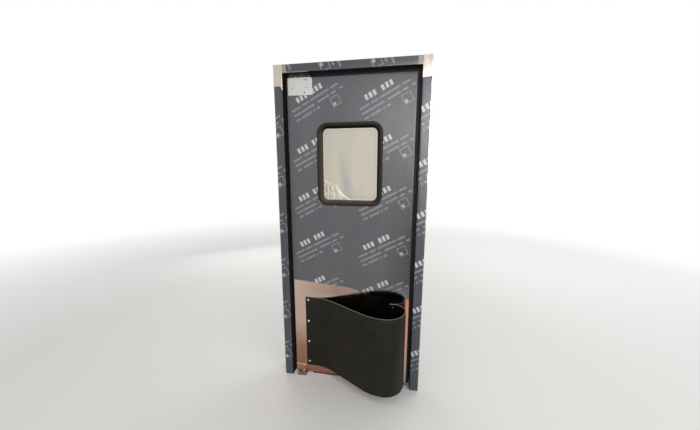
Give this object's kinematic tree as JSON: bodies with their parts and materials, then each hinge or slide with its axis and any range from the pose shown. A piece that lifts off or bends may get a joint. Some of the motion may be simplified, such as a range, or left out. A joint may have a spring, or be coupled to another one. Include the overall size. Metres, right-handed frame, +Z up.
{
  "type": "double-acting traffic door with frame",
  "caption": "Stainless steel swing door in its frame: a framed window, black teardrop bumpers, rubber edge seals and centre pivots that let it open both ways.",
  "frame": {"origin": "on the hinge jamb's wall face, at the middle of the frame's depth, at floor level", "axes": "+X from the hinge jamb to the strike jamb, +Y from the front to the back, +Z up"},
  "size_m": [0.954, 0.46, 2.12],
  "materials": {
    "frame_steel": "brushed stainless sheet, mostly under dark blue-grey protective film",
    "leaf_steel": "brushed stainless sheet, grain upright, film above a torn edge",
    "bracket_steel": "plain steel plate",
    "pin_steel": "turned steel",
    "cast_case": "cast pivot housings",
    "core_foam": "rigid foam, hidden",
    "channel_plastic": "extruded edge channel",
    "seal_rubber": "black extruded rubber",
    "gasket_rubber": "black extruded rubber, brownish",
    "pane_acrylic": "clear acrylic under a cream film",
    "bumper_plastic": "black thermoplastic sheet, fine grain",
    "cover_plastic": "white moulded plastic",
    "cover_steel": "brushed stainless cover",
    "washer_nylon": "nylon",
    "protective_film": "dark grey protective film over the steel, printed in pale grey",
    "pane_film": "milky protective film on the pane",
    "screw_steel": "stainless screws and washers"
  },
  "bodies": {
    "frame": {"hinge_jamb": "frame_steel", "strike_jamb": "frame_steel", "header": "frame_steel", "hinge_jamb_anchors": "bracket_steel", "strike_jamb_anchors": "bracket_steel", "top_pivot_bracket": "bracket_steel", "top_pivot_pin": "pin_steel", "floor_pivot_plate": "bracket_steel", "floor_pivot_pin": "pin_steel", "thrust_washer": "washer_nylon"},
    "leaf": {"front_skin": "leaf_steel", "back_skin": "leaf_steel", "foam_core": "core_foam", "hinge_edge_channel": "channel_plastic", "strike_edge_channel": "channel_plastic", "top_edge_channel": "channel_plastic", "bottom_edge_channel": "channel_plastic", "hinge_seal": "seal_rubber", "strike_seal": "seal_rubber", "top_seal": "seal_rubber", "bottom_sweep": "seal_rubber", "window_gasket": "gasket_rubber", "window_pane": "pane_acrylic", "front_bumper": "bumper_plastic", "back_bumper": "bumper_plastic", "front_hinge_cover": "cover_plastic", "back_hinge_cover": "cover_plastic", "front_lower_cover": "cover_steel", "back_lower_cover": "cover_steel", "top_pivot_block": "cast_case", "lower_pivot_case": "cast_case"}
  },
  "joints": [
    {"name": "leaf_swing", "type": "hinge", "parent": "frame", "child": "leaf", "pos_m": [0.124, 0, 0.01], "axis": [0, 0, 1], "range_deg": [-90, 90], "stiffness_Nm_per_rad": 12}
  ]
}
